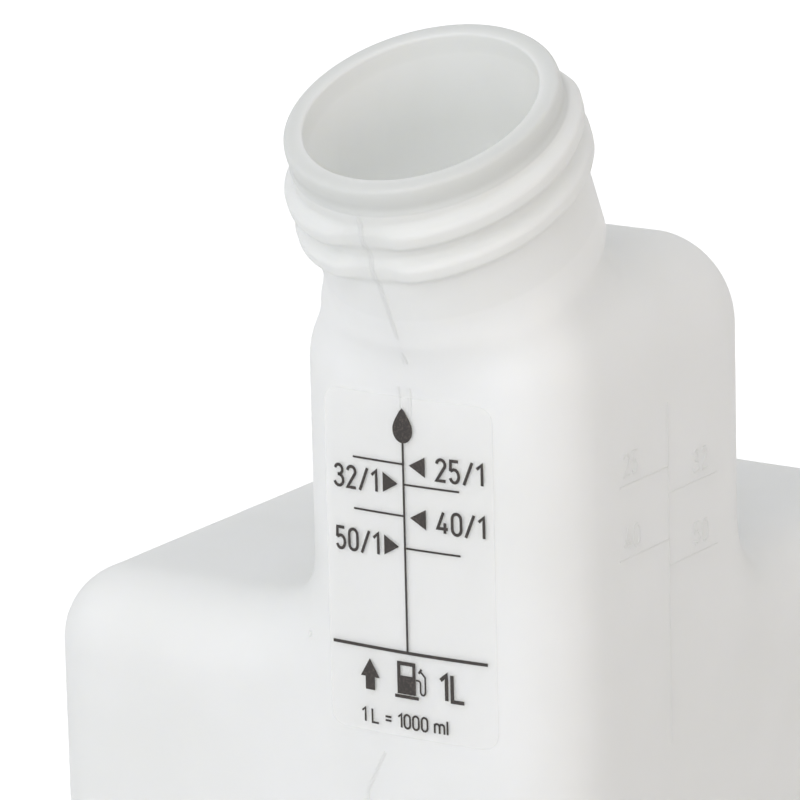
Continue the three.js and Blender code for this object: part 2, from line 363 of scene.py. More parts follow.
@dataclass(frozen=True)
class LipForm:
    """Profile of the lip, as depths down the neck and radii."""

    mouth_radius: float = 15.0
    bore_depth: float = 4.0
    bore_opening: float = 15.0
    groove_depth: float = 3.6
    profile: tuple[Point2, ...] = (
        (3.6, 17.75),
        (3.1, 17.5),
        (2.6, 17.5),
        (2.0, 17.65),
        (0.9, 17.65),
        (0.15, 17.45),
        (0.0, 16.7),
        (0.0, 15.7),
        (0.05, 15.15),
        (0.4, 15.0),
        (3.0, 15.0),
    )
    roundings: int = 2
    corner_cut: float = 0.25

    def rounded(self) -> list[Point2]:
        """The profile with its corners cut twice, so that it reads as round.

        Returns:
            Depths and radii, from the outside over the lip to the bore.
        """
        points, shares = list(self.profile), (self.corner_cut, 1 - self.corner_cut)
        for _ in range(self.roundings):
            cut = [points[0]]
            for (d0, r0), (d1, r1) in zip(points, points[1:]):
                cut += [(d0 * (1 - share) + d1 * share, r0 * (1 - share) + r1 * share) for share in shares]
            points = [*cut, points[-1]]
        return points


class Placement:
    """Turns millimetres of the mould's frame to metres of the part's frame."""

    def __init__(self, form: BottleForm) -> None:
        """Find the shift from the right and back faces of the bottle's node."""
        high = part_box("bottle")[1]
        self.shift = np.array([high.x / METRES - form.right, high.y / METRES - form.body_depth, 0.0])

    def metres(self, points: Array) -> Array:
        """Rows of points in metres, in the part's frame."""
        return (np.asarray(points, float).reshape(-1, 3) + self.shift) * METRES


def make_piece(name: str, points: Array, faces: Sequence[Sequence[int]], shade_smooth: bool) -> Piece:
    """Make a mesh object from points and faces.

    Args:
        name: The piece's name.
        points: Rows of points in metres.
        faces: Corner indices of each face.
        shade_smooth: Whether its faces are shaded as one smooth skin.

    Returns:
        The object, linked to the scene.
    """
    mesh = bpy.data.meshes.new(name)
    mesh.from_pydata(points.tolist(), [], faces)
    mesh.polygons.foreach_set("use_smooth", [shade_smooth] * len(mesh.polygons))
    mesh.update()
    piece = bpy.data.objects.new(name, mesh)
    bpy.context.scene.collection.objects.link(piece)
    return piece


def dress(piece: Piece, material: Material) -> Piece:
    """Give a piece its material and its body.

    Args:
        piece: The piece.
        material: Its material.

    Returns:
        The same piece.
    """
    piece.data.materials.append(material)
    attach(piece, BODY)
    LOG.info("%s: %d faces, %s", piece.name, len(piece.data.polygons), material.name)
    return piece


@dataclass(frozen=True)
class Relief:
    """Fine unevenness of a skin: its grain's size, its height, and how strongly the light takes it up."""

    size_mm: float
    height_mm: float
    strength: float

    def normal(self, tree: Tree, place: Socket) -> Socket:
        """Bend the surface's normal by it.

        Args:
            tree: The material's node tree.
            place: The piece's own coordinates in metres.

        Returns:
            The bent normal.
        """
        grain = add_node(tree, "ShaderNodeTexNoise", Vector=place, Scale=1 / (self.size_mm * METRES))
        bump = add_node(
            tree,
            "ShaderNodeBump",
            Height=grain.outputs["Fac"],
            Strength=self.strength,
            Distance=self.height_mm * METRES,
        )
        return bump.outputs["Normal"]


@dataclass(frozen=True)
class Mottle:
    """Two shades that change over in soft spots of one size, between two levels of the noise."""

    size_mm: float
    levels: Point2
    shades: tuple[str, str]
    detail: float = 2.0
    roughness: float = 0.5

    def spread(self, tree: Tree, place: Socket) -> tuple[Socket, Socket]:
        """Build it.

        Args:
            tree: The node tree.
            place: The piece's own coordinates in metres.

        Returns:
            The noise and the colour.
        """
        noise = add_node(
            tree,
            "ShaderNodeTexNoise",
            Vector=place,
            Scale=1 / (self.size_mm * METRES),
            Detail=self.detail,
            Roughness=self.roughness,
        ).outputs["Fac"]
        ramp = add_node(tree, "ShaderNodeValToRGB", Fac=noise)
        for stop, level, shade in zip(ramp.color_ramp.elements, self.levels, self.shades):
            stop.position, stop.color = level, linear(shade)
        return noise, ramp.outputs["Color"]


@dataclass(frozen=True)
class Finish(ABC):
    """A finish that makes one named material."""

    name: str

    @abstractmethod
    def surface(self, tree: Tree, place: Socket) -> Socket:
        """Build the surface.

        Args:
            tree: The material's node tree.
            place: The piece's own coordinates in metres.

        Returns:
            The surface's shader.
        """

    def material(self) -> Material:
        """Build the material.

        Returns:
            The new material.
        """
        made = bpy.data.materials.new(self.name)
        made.use_nodes = True
        tree = made.node_tree
        tree.nodes.clear()
        place = add_node(tree, "ShaderNodeTexCoord").outputs["Object"]
        add_node(tree, "ShaderNodeOutputMaterial", Surface=self.surface(tree, place))
        return made


@dataclass(frozen=True)
class NaturalPolyethylene(Finish):
    """Natural high density polyethylene, blown.

    The eye gets a milky white that lets soft light through, a waxy gloss without sharp reflections, faint
    clouds where the blown wall varies, and the orange peel of a blown skin. The lip and thread are greyer
    where
    the wall is thick: less light passes through them there, and their colour off the surface is darkened too
    as painted shade.
    """

    name: str = "natural_hdpe_blown"
    clouds: Mottle = Mottle(26.0, (0.35, 0.65), ("F0F1F0", "F5F6F6"), 3.0, 0.55)
    # Grey for the thick lip and thread: partly less light through the wall, partly painted shade on the
    # surface.
    thick_wall_and_painted_shade: str = "E6E7E6"
    roughness: float = 0.38
    gloss_swing: Point2 = (-0.04, 0.05)
    ior: float = 1.54
    peel: Relief = Relief(1.6, 0.012, 0.35)
    scatter_mm: float = 2.0
    scatter_share: float = 0.45
    scatter_reach: tuple[float, float, float] = (1.0, 0.97, 0.84)
    through: str = "F6F7F5"
    through_share: float = 0.4

    def surface(self, tree: Tree, place: Socket) -> Socket:
        """Build the plastic: light off it, and light through its thin wall.

        Args:
            tree: The material's node tree.
            place: The piece's own coordinates in metres.

        Returns:
            The plastic's shader.
        """
        noise, shade = self.clouds.spread(tree, place)
        thickness = add_node(tree, "ShaderNodeAttribute", {"attribute_name": WALL_THICKNESS}).outputs["Fac"]
        # Where the wall is thick, both colours are multiplied by a grey: the light through the wall is truly
        # less, and the darker colour off the surface is painted shade on the lip and thread.
        multiply, grey = {"data_type": "RGBA", "blend_type": "MULTIPLY"}, linear(self.thick_wall_and_painted_shade)
        colour, passing = (
            add_node(tree, "ShaderNodeMix", multiply, _0=thickness, _6=base, _7=grey).outputs[2]
            for base in (shade, linear(self.through))
        )
        smoothest, roughest = (self.roughness + swing for swing in self.gloss_swing)
        gloss = add_node(tree, "ShaderNodeMapRange", Value=noise, To_Min=smoothest, To_Max=roughest)
        normal = self.peel.normal(tree, place)
        off = add_node(
            tree,
            "ShaderNodeBsdfPrincipled",
            Base_Color=colour,
            Roughness=gloss.outputs["Result"],
            Normal=normal,
            IOR=self.ior,
            Subsurface_Weight=self.scatter_share,
            Subsurface_Radius=self.scatter_reach,
            Subsurface_Scale=self.scatter_mm * METRES,
        ).outputs["BSDF"]
        through = add_node(tree, "ShaderNodeBsdfTranslucent", Color=passing, Normal=normal).outputs["BSDF"]
        both = add_node(tree, "ShaderNodeMixShader", Fac=self.through_share, _1=off, _2=through)
        return both.outputs["Shader"]


@dataclass(frozen=True)
class LabelFilm(Finish):
    """Clear polypropylene label film, cast and self-adhesive.

    The eye gets a faint veil with a sharper gloss than the bottle's, and a fine bright edge.
    """

    name: str = "clear_label_film"
    veil: str = "F3F3F1"
    alpha: float = 0.1
    roughness: float = 0.24
    ior: float = 1.49
    ripple: Relief = Relief(9.0, 0.02, 0.4)

    def surface(self, tree: Tree, place: Socket) -> Socket:
        """Build the film.

        Args:
            tree: The material's node tree.
            place: The piece's own coordinates in metres.

        Returns:
            The film's shader.
        """
        film = add_node(
            tree,
            "ShaderNodeBsdfPrincipled",
            Base_Color=linear(self.veil),
            Roughness=self.roughness,
            IOR=self.ior,
            Alpha=self.alpha,
            Normal=self.ripple.normal(tree, place),
        )
        return film.outputs["BSDF"]


@dataclass(frozen=True)
class ScreenInk(Finish):
    """Brown-black ink, screen printed on the film.

    The eye gets a flat dark brown, with fine lighter specks where the film shows through the ink.
    """

    name: str = "brown_black_screen_ink"
    cover: Mottle = Mottle(0.22, (0.5, 0.72), ("1E1916", "48403A"))
    roughness: float = 0.5
    ior: float = 1.5

    def surface(self, tree: Tree, place: Socket) -> Socket:
        """Build the ink.

        Args:
            tree: The material's node tree.
            place: The piece's own coordinates in metres.

        Returns:
            The ink's shader.
        """
        shade = self.cover.spread(tree, place)[1]
        ink = add_node(
            tree, "ShaderNodeBsdfPrincipled", Base_Color=shade, Roughness=self.roughness, IOR=self.ior
        )
        return ink.outputs["BSDF"]


@dataclass(frozen=True)
class StudioPaper(Finish):
    """Matt white background paper.

    The eye gets plain white with the object's soft shadow kept on the floor. The white comes from a glow that
    only the camera, mirrors and clear plastic see, so it adds no light to the bottle.
    """

    name: str = "white_background_paper"
    paper: str = "D4D4D4"
    roughness: float = 0.9
    grain: Relief = Relief(4.0, 1.0, 0.05)
    lift: float = 0.55

    def surface(self, tree: Tree, place: Socket) -> Socket:
        """Build the paper.

        Args:
            tree: The material's node tree.
            place: The piece's own coordinates in metres.

        Returns:
            The paper's shader.
        """
        paper = add_node(
            tree,
            "ShaderNodeBsdfPrincipled",
            Base_Color=linear(self.paper),
            Roughness=self.roughness,
            Normal=self.grain.normal(tree, place),
        ).outputs["BSDF"]
        lift = add_node(tree, "ShaderNodeEmission", Color=WHITE, Strength=self.lift).outputs["Emission"]
        lifted = add_node(tree, "ShaderNodeAddShader", _0=paper, _1=lift).outputs["Shader"]
        seen = add_node(tree, "ShaderNodeMixShader", Fac=seen_directly(tree), _1=paper, _2=lifted)
        return seen.outputs["Shader"]


@dataclass(frozen=True)
class RingCounts:
    """How many rings each part of one side of the wall gets."""

    base: int
    walls: int
    shoulder: int
    tower: int
    hump: int
    fillet: int


@dataclass
class BlownShell:
    """The bottle's shell: outside, lip and inside as one closed skin of rings."""

    form: BottleForm
    thread: ThreadForm
    lip: LipForm
    placement: Placement
    name: str = "bottle_shell"
    cone_drop: float = 30.0
    wall_from: float = 25.0
    wall_short: float = 6.0
    tower_low_share: float = 0.48
    narrowest_share: float = 0.95
    foot_share: float = 0.47
    tip_bend: float = 0.85
    corner_steps: int = 16
    widest_gap: float = 0.03
    closest: float = 0.008
    outer: RingCounts = RingCounts(8, 11, 46, 16, 44, 16)
    inner: RingCounts = RingCounts(4, 4, 18, 6, 18, 6)
    push_up_rings: int = 5
    thread_rings: int = 50
    bore_rings: int = 10
    fillet_depths: Point2 = (31.2, 20.0)
    fillet_gap: float = 0.4
    lip_gap: float = 0.3
    bore_gap: float = 0.5
    thread_wall: Point2 = (0.1, 0.4)
    lip_fade: float = 2.6

    def __post_init__(self) -> None:
        """Work out the directions that every ring is cast in."""
        self.angles = self._directions()
        self.cos, self.sin = np.cos(self.angles), np.sin(self.angles)

    def _corner(self, x: float, y: float, radius: float, inward_x: int, inward_y: int) -> list[float]:
        """Directions through one rounded corner of the plan.

        Args:
            x: Place of the corner's side face.
            y: Place of its front or back face.
            radius: Its radius.
            inward_x: 1 where the form lies to the right of the corner, or else -1.
            inward_y: 1 where the form lies behind the corner, or else -1.

        Returns:
            Angles round the spine.
        """
        angles = []
        for i in range(self.corner_steps):
            turn = i / (self.corner_steps - 1) * math.pi / 2
            px = x + inward_x * radius * (1 - math.cos(turn))
            py = y + inward_y * radius * (1 - math.sin(turn)) - self.form.spine_y
            angles.append(math.atan2(py, px) % (2 * math.pi))
        return angles

    def _directions(self) -> Array:
        """Directions round the spine, close together at the corners of body and tower.

        Returns:
            Angles round the spine, in rising order.
        """
        f = self.form
        corners = (
            (f.left, 0, f.front_left_corner, 1, 1),
            (f.right, 0, f.front_right_corner, -1, 1),
            (f.left, f.body_depth, f.back_corner, 1, -1),
            (f.right, f.body_depth, f.back_corner, -1, -1),
            (-f.right, 0, f.edge_round, 1, 1),
            (-f.right, f.tower_depth, f.tower_corner, 1, -1),
            (f.right, f.tower_depth, f.edge_round, -1, -1),
        )
        wanted = sorted(angle for corner in corners for angle in self._corner(*corner))
        kept = [wanted[0]]
        for angle in wanted:
            if angle - kept[-1] >= self.closest:
                kept.append(angle)
        angles = []
        for angle, after in zip(kept, [*kept[1:], kept[0] + 2 * math.pi]):
            pieces = max(1, math.ceil((after - angle) / self.widest_gap))
            angles += [angle + (after - angle) * k / pieces for k in range(pieces)]
        return np.array(angles)

    def _rings(
        self, origins: Array, ways: tuple[Array, ...], distance: Callable[[Array], Array], levels: Array
    ) -> Array:
        """Cast whole rings at once.

        Args:
            origins: One starting point a ring.
            ways: The directions' x, y and z, for every angle, for every ring or for both.
            distance: The distance to the shape.
            levels: The distance to stop at, one a ring.

        Returns:
            An array of rings, angles and x, y, z.
        """
        count = len(self.angles)
        unit = np.stack(np.broadcast_arrays(*ways), -1)
        unit = unit / np.linalg.norm(unit, axis=2, keepdims=True)
        reached = self.form.cast(
            np.repeat(origins, count, axis=0), unit.reshape(-1, 3), distance, np.repeat(levels, count)
        )
        return reached.reshape(len(origins), count, 3)

    def _spine(self, heights: Sequence[float]) -> Array:
        """Points of the spine."""
        return np.array([[0.0, self.form.spine_y, z] for z in heights])

    def _plan_rings(self, insets: Sequence[float], heights: Sequence[float]) -> Array:
        """Level rings, drawn in from the body's outline by an inset each."""
        ways = (self.cos, self.sin, np.zeros((len(insets), 1)))
        return self._rings(self._spine(heights), ways, self.form.outline, -np.asarray(insets, float))

    def _cone_rings(self, heights: Array, slopes: Array, depth: float) -> Array:
        """Rings cast from the spine along cones that climb by a slope each."""
        ways = (self.cos, self.sin, slopes[:, None])
        return self._rings(self._spine(heights), ways, self.form.skin, np.full(len(slopes), -depth))

    def _plane_rings(self, origins: Array, tips: Array, depth: float) -> Array:
        """Rings cast in planes that tip backwards by an angle each."""
        ways = (self.cos, self.sin * np.cos(tips)[:, None], self.sin * np.sin(tips)[:, None])
        return self._rings(origins, ways, self.form.skin, np.full(len(tips), -depth))

    def _base(self, depth: float, steps: int) -> Array:
        """Rings of the base: the push-up, the standing ring and the rounded edge.

        Args:
            depth: Depth under the outside.
            steps: Steps round the edge.

        Returns:
            An array of rings, angles and x, y, z.
        """
        f = self.form
        ring_inner = f.base_round + f.standing_ring
        radius = f.base_round - depth
        turns = [i / steps * math.pi / 2 for i in range(steps + 1)]
        shares = np.linspace(0, 1, self.push_up_rings)
        insets = [*(ring_inner + f.push_up_run * (1 - shares))]
        heights = [*(depth + f.push_up * (1 - smooth(shares, 0, 1)))]
        insets += [f.base_round - radius * math.sin(t) for t in turns]
        heights += [f.base_round - radius * math.cos(t) for t in turns]
        return self._plan_rings(insets, heights)

    @property
    def tower_low(self) -> float:
        """Height of the level ring round the tower that the hump's rings start from."""
        return self.form.shoulder_z + self.form.tower_rise * self.tower_low_share

    def _walls(self, depth: float, count: RingCounts) -> list[Array]:
        """Upright walls, then cones that open over the shoulder and close again up the tower.

        Args:
            depth: Depth under the outside.
            count: Ring counts of this side of the wall.

        Returns:
            Three such arrays of rings, from below.
        """
        f = self.form
        low = f.shoulder_z - self.cone_drop
        heights = np.linspace(self.wall_from, low - self.wall_short, count.walls)
        flattest = (self.cone_drop - f.edge_round) / math.hypot(f.left, f.body_depth - f.spine_y)
        steepest = self.cone_drop / (self.narrowest_share * f.right)
        slopes = flattest * (steepest / flattest) ** np.linspace(0, 1, count.shoulder)
        shares = np.arange(1, count.tower + 1) / count.tower
        return [
            self._plan_rings([depth] * count.walls, heights),
            self._cone_rings(np.full(count.shoulder, low), slopes, depth),
            self._cone_rings(low + (self.tower_low - low) * shares, steepest * (1 - shares), depth),
        ]

    def _hump(self, depth: float, count: RingCounts) -> list[Array]:
        """Planes that tip over the hump until they lie across the neck, then climb through its fillet.

        Args:
            depth: Depth under the outside.
            count: Ring counts of this side of the wall.

        Returns:
            Two such arrays of rings, from below.
        """
        f = self.form
        foot = f.rim_centre - f.neck_axis * f.rim_rise * self.foot_share
        foot_height = foot[2] - foot[1] * math.tan(f.neck_lean)
        shares = np.arange(1, count.hump + 1) / count.hump
        tips = f.neck_lean * shares**self.tip_bend
        ys = f.spine_y + (foot[1] - f.spine_y) * shares
        heights = self.tower_low + (foot_height - self.tower_low) * shares + ys * np.tan(tips)
        hump_from = np.stack([np.zeros(count.hump), ys, heights], -1)
        depths = np.linspace(*self.fillet_depths, count.fillet)
        neck_from = f.rim_centre - depths[:, None] * f.neck_axis
        return [
            self._plane_rings(hump_from, tips, depth),
            self._plane_rings(neck_from, np.full(count.fillet, f.neck_lean), depth),
        ]

    def _blown(self, depth: float, count: RingCounts) -> Array:
        """Rings from the base to the foot of the finish, at a depth under the outside."""
        rings = [self._base(depth, count.base), *self._walls(depth, count), *self._hump(depth, count)]
        return np.concatenate(rings)

    def _finish(self) -> Array:
        """Rings of the threaded neck and the lip.

        Returns:
            An array of rings, angles and x, y, z.
        """
        deepest, highest = self.fillet_depths[1] - self.fillet_gap, self.lip.groove_depth + self.lip_gap
        depths = np.linspace(deepest, highest, self.thread_rings)[:, None]
        rise = self.thread.rise(self.angles[None, :], depths)
        radii = self.form.neck_radius + (self.thread.crest - self.form.neck_radius) * rise
        threaded = self.form.neck_point(self.angles[None, :], depths, radii)
        lip = np.array(self.lip.rounded())
        rounded = self.form.neck_point(self.angles[None, :], lip[:, :1], lip[:, 1:])
        return np.concatenate([threaded, rounded])

    def _bore(self) -> Array:
        """Rings down the bore, which opens out to the blown neck's inside.

        Returns:
            An array of rings, angles and x, y, z.
        """
        inside = self.form.neck_radius - self.form.wall
        top = self.lip.bore_depth
        depths = np.linspace(top, self.fillet_depths[1] - self.bore_gap, self.bore_rings)
        opening = smooth(depths, top, top + self.lip.bore_opening)
        radii = self.lip.mouth_radius + (inside - self.lip.mouth_radius) * opening
        return self.form.neck_point(self.angles[None, :], depths[:, None], radii[:, None])

    def _thickness(self, finish: int, below: int, within: int) -> Array:
        """How thick the wall is at each point, from 0 for the blown wall to 1 at the lip.

        Args:
            finish: Rings of the thread and the lip.
            below: Rings outside, below them.
            within: Rings inside.

        Returns:
            One share a point, the middle points of the base included.
        """
        lip = np.clip(np.linspace(self.lip_fade, 0.0, finish - self.thread_rings), 0.0, 1.0)
        thread = np.linspace(*self.thread_wall, self.thread_rings)
        shares = np.concatenate([np.zeros(below), thread, lip, np.zeros(within)])
        return np.concatenate([[0.0], np.repeat(shares, len(self.angles)), [0.0]])

    def _faces(self, rings: int) -> list[Sequence[int]]:
        """Quads between the rings, and a fan of triangles at either end.

        Args:
            rings: How many rings there are.

        Returns:
            Corner indices of each face.
        """
        count = len(self.angles)
        starts = 1 + np.arange(rings - 1)[:, None] * count
        here, after = np.arange(count)[None, :], (np.arange(count)[None, :] + 1) % count
        quads = np.stack([starts + here, starts + after, starts + count + after, starts + count + here], -1)
        last, end = 1 + (rings - 1) * count, 1 + rings * count
        faces = quads.reshape(-1, 4).tolist()
        faces += [(0, 1 + (i + 1) % count, 1 + i) for i in range(count)]
        faces += [(end, last + i, last + (i + 1) % count) for i in range(count)]
        return faces

    def build(self, material: Material) -> Piece:
        """Build the shell, dress it and let it stand for the node.

        Args:
            material: The bottle's plastic.

        Returns:
            The shell.
        """
        f = self.form
        below, inside = self._blown(0.0, self.outer), self._blown(f.wall, self.inner)
        finish, bore = self._finish(), self._bore()
        rings = np.concatenate([below, finish, bore, inside[::-1]])
        ends = np.array([[0.0, f.spine_y, f.push_up], [0.0, f.spine_y, f.push_up + f.wall]])
        points = np.concatenate([ends[:1], rings.reshape(-1, 3), ends[1:]])
        shell = make_piece(self.name, self.placement.metres(points), self._faces(len(rings)), True)
        shares = self._thickness(len(finish), len(below), len(bore) + len(inside))
        shell.data.attributes.new(WALL_THICKNESS, "FLOAT", "POINT").data.foreach_set("value", shares)
        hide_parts("bottle")
        return dress(shell, material)


class Ground(ABC):
    """A surface that flat shapes are laid on, addressed by two lengths in millimetres."""

    @abstractmethod
    def at(self, across: Array, up: Array, lift: float) -> Array:
        """Points over the surface.

        Args:
            across: Place across the surface.
            up: Place up the surface.
            lift: Height over the surface.

        Returns:
            Rows of points in the mould's frame.
        """


@dataclass(frozen=True)
class FilmFace(Ground):
    """The label film's outer face. Up is counted from the litre mark."""

    form: BottleForm
    film_rise: float = 0.3
    middle_z: float = 146.8

    def at(self, across: Array, up: Array, lift: float) -> Array:
        """Points over the film."""
        bulge = self.form.crown(across, np.full_like(across, self.middle_z))
        return np.stack([across, -bulge - self.film_rise - lift, up + LITRE_MARK_Z], -1)


@dataclass(frozen=True)
class FrontWall(Ground):
    """The tower's and the body's front. Up is counted from the litre mark."""

    form: BottleForm

    def at(self, across: Array, up: Array, lift: float) -> Array:
        """Points over the front wall.

        Args:
            across: Place from the tower's middle.
            up: Height over the litre mark.
            lift: Height over the surface.

        Returns:
            Rows of points in the mould's frame.
        """
        z = up + LITRE_MARK_Z
        origins = np.stack([across, np.full_like(across, self.form.spine_y), z], -1)
        forward = np.broadcast_to(np.array([0.0, -1.0, 0.0]), origins.shape)
        reached = self.form.cast(origins, forward, self.form.skin, np.zeros(len(origins)))
        return reached - np.array([0.0, lift, 0.0])


@dataclass(frozen=True)
class SideWall(Ground):
    """The right face. Across is depth from the front, and up is counted from the litre mark."""

    form: BottleForm

    def at(self, across: Array, up: Array, lift: float) -> Array:
        """Points over the right face."""
        side = np.full_like(across, self.form.right + lift)
        return np.stack([side, across, up + LITRE_MARK_Z], -1)


@dataclass(frozen=True)
class NeckWall(Ground):
    """The neck's outside. Across is the length round it from the front, and up is the depth from the rim."""

    form: BottleForm
    thread: ThreadForm

    def at(self, across: Array, up: Array, lift: float) -> Array:
        """Points over the threaded neck.

        Args:
            across: Length round the neck from its front.
            up: Depth from the rim.
            lift: Height over the surface.

        Returns:
            Rows of points in the mould's frame.
        """
        angle = across / self.form.neck_radius - math.pi / 2
        rise = self.thread.rise(angle, up)
        radius = self.form.neck_radius + (self.thread.crest - self.form.neck_radius) * rise
        return self.form.neck_point(angle, up, radius + lift)


class Pen:
    """Lays thin raised bars on a surface, each a row of left and right points."""

    def __init__(self, ground: Ground, height: float, sink: float) -> None:
        """Start with nothing laid.

        Args:
            ground: The surface.
            height: How far the bars stand over it.
            sink: How far they reach into it.
        """
        self.ground, self.height, self.sink = ground, height, sink
        self.points: list[Array] = []
        self.faces: list[tuple[int, ...]] = []
        self.used = 0

    def bar(self, left: Sequence[Point2], right: Sequence[Point2], bevel: float = 0.0) -> None:
        """Lay one closed bar.

        Args:
            left: Points along its left side.
            right: As many points along its right side.
            bevel: Share of the width by which each side leans in to the top.
        """
        a, b = np.array(left, float), np.array(right, float)
        lean = (b - a) * bevel
        sides = [(a + lean, self.height), (b - lean, self.height), (b, -self.sink), (a, -self.sink)]
        rows = [self.ground.at(flat[:, 0], flat[:, 1], lift) for flat, lift in sides]
        self.points.append(np.stack(rows, 1).reshape(-1, 3))
        base, around = self.used, len(sides)
        last = base + (len(a) - 1) * around
        for near in range(base, last, around):
            far = near + around
            for i in range(around):
                j = (i + 1) % around
                self.faces.append((near + i, near + j, far + j, far + i))
        self.faces.append(tuple(range(base + around - 1, base - 1, -1)))
        self.faces.append(tuple(range(last, last + around)))
        self.used = last + around

    def stroke(
        self, line: Sequence[Point2], width: float, bevel: float = 0.0, longest: float = 1.0
    ) -> None:
        """Lay a stroke of even width along a line of points.

        Args:
            line: The stroke's middle line.
            width: Its width.
            bevel: Lean of its sides.
            longest: Longest step that is left undivided.
        """
        middle = np.array(self._divided(line, longest))
        steps = np.diff(middle, axis=0)
        steps /= np.linalg.norm(steps, axis=1, keepdims=True)
        before, after = np.vstack([steps[:1], steps]), np.vstack([steps, steps[-1:]])
        along = before + after
        along /= np.maximum(np.linalg.norm(along, axis=1, keepdims=True), SHORTEST)
        sharp = np.clip(np.sum(along * after, axis=1), SHARPEST_MITRE, 1.0)
        out = np.stack([-along[:, 1], along[:, 0]], -1) * (width / 2 / sharp)[:, None]
        self.bar((middle + out).tolist(), (middle - out).tolist(), bevel)

    @staticmethod
    def _divided(line: Sequence[Point2], longest: float) -> list[Point2]:
        """The line with its long steps divided.

        Args:
            line: The line's points.
            longest: Longest step that is left whole.

        Returns:
            The line's points with the new ones between them.
        """
        points = [line[0]]
        for (x0, y0), (x1, y1) in zip(line, line[1:]):
            dx, dy = x1 - x0, y1 - y0
            pieces = max(1, math.ceil(math.hypot(dx, dy) / longest))
            points += [(x0 + dx * k / pieces, y0 + dy * k / pieces) for k in range(1, pieces + 1)]
        return points

    def piece(self, name: str, placement: Placement) -> Piece:
        """Make one piece of all that was laid."""
        return make_piece(name, placement.metres(np.concatenate(self.points)), self.faces, False)


def arc(cx: float, cy: float, rx: float, ry: float, start: float, end: float, steps: int = 8) -> list[Point2]:
    """Points along part of an ellipse, by degrees: 0 is to the right of its middle and 90 above it."""
    turns = [math.radians(start + (end - start) * i / steps) for i in range(steps + 1)]
    return [(cx + rx * math.cos(t), cy + ry * math.sin(t)) for t in turns]


@dataclass(frozen=True)
class Glyph:
    """One figure as middle lines of its strokes, in a box of its width and a height of 1."""

    width: float
    strokes: tuple[Sequence[Point2], ...]


def plain_figures() -> dict[str, Glyph]:
    """Plain narrow figures of even stroke, as a technical scale has them.

    Returns:
        Every figure by its character.
    """
    over, under = arc(0.22, 0.74, 0.22, 0.26, 0, 180), arc(0.22, 0.26, 0.22, 0.26, 180, 360)
    return {
        "0": Glyph(0.44, ([*over, *under, (0.44, 0.74)],)),
        "1": Glyph(0.25, (((0.0, 0.76), (0.25, 0.985), (0.25, 0.0)),)),
        "2": Glyph(0.44, ([*arc(0.22, 0.76, 0.21, 0.24, 172, -22, 9), (0.0, 0.0), (0.45, 0.0)],)),
        "3": Glyph(
            0.44,
            (
                [*arc(0.2, 0.77, 0.2, 0.23, 165, -80), (0.14, 0.54)],
                [(0.14, 0.54), *arc(0.2, 0.27, 0.24, 0.27, 80, -165)],
            ),
        ),
        "4": Glyph(0.5, (((0.3, 1.0), (0.0, 0.22), (0.5, 0.22)), ((0.36, 0.5), (0.36, 0.0)))),
        "5": Glyph(
            0.46,
            (
                ((0.42, 1.0), (0.05, 1.0), (0.03, 0.52)),
                [(0.03, 0.52), *arc(0.22, 0.3, 0.22, 0.31, 125, -160, 11)],
            ),
        ),
        "/": Glyph(0.42, (((0.0, -0.06), (0.42, 1.04)),)),
        "L": Glyph(0.5, (((0.0, 1.0), (0.0, 0.0), (0.5, 0.0)),)),
        "l": Glyph(0.02, (((0.01, 1.0), (0.01, 0.0)),)),
        "m": Glyph(
            0.72,
            (
                ((0.0, 0.7), (0.0, 0.0)),
                [*arc(0.18, 0.5, 0.18, 0.2, 180, 0), (0.36, 0.0)],
                [*arc(0.54, 0.5, 0.18, 0.2, 180, 0), (0.72, 0.0)],
            ),
        ),
        "=": Glyph(0.46, (((0.0, 0.62), (0.46, 0.62)), ((0.0, 0.34), (0.46, 0.34)))),
        " ": Glyph(0.1, ()),
    }


@dataclass(frozen=True)
class Lettering:
    """One size and weight of plain figures."""

    cap: float
    width: float
    stretch: float = 1.0
    bevel: float = 0.0
    spacing: float = 0.08
    figures: dict[str, Glyph] = field(default_factory=plain_figures)

    def write(self, pen: Pen, text: str, start: Point2) -> None:
        """Lay a line of figures.

        Args:
            pen: The pen to lay them with.
            text: The figures.
            start: Their lower left corner.
        """
        inner = self.cap - self.width
        across, foot = start[0] + self.width / 2, start[1] + self.width / 2
        for letter in text:
            glyph = self.figures[letter]
            for line in glyph.strokes:
                placed = [(across + x * inner * self.stretch, foot + y * inner) for x, y in line]
                pen.stroke(placed, self.width, self.bevel)
            across += glyph.width * inner * self.stretch + self.width + self.spacing * self.cap


class Side(Enum):
    """Side of the stem that a ratio's figures stand on."""

    LEFT = -1
    RIGHT = 1


@dataclass(frozen=True)
class Ratio:
    """One mark of the oil scale: its rule on one side of the stem and its figures on the other."""

    text: str
    rule_up: float
    figures: Side
    figures_up: float
    figures_from: float


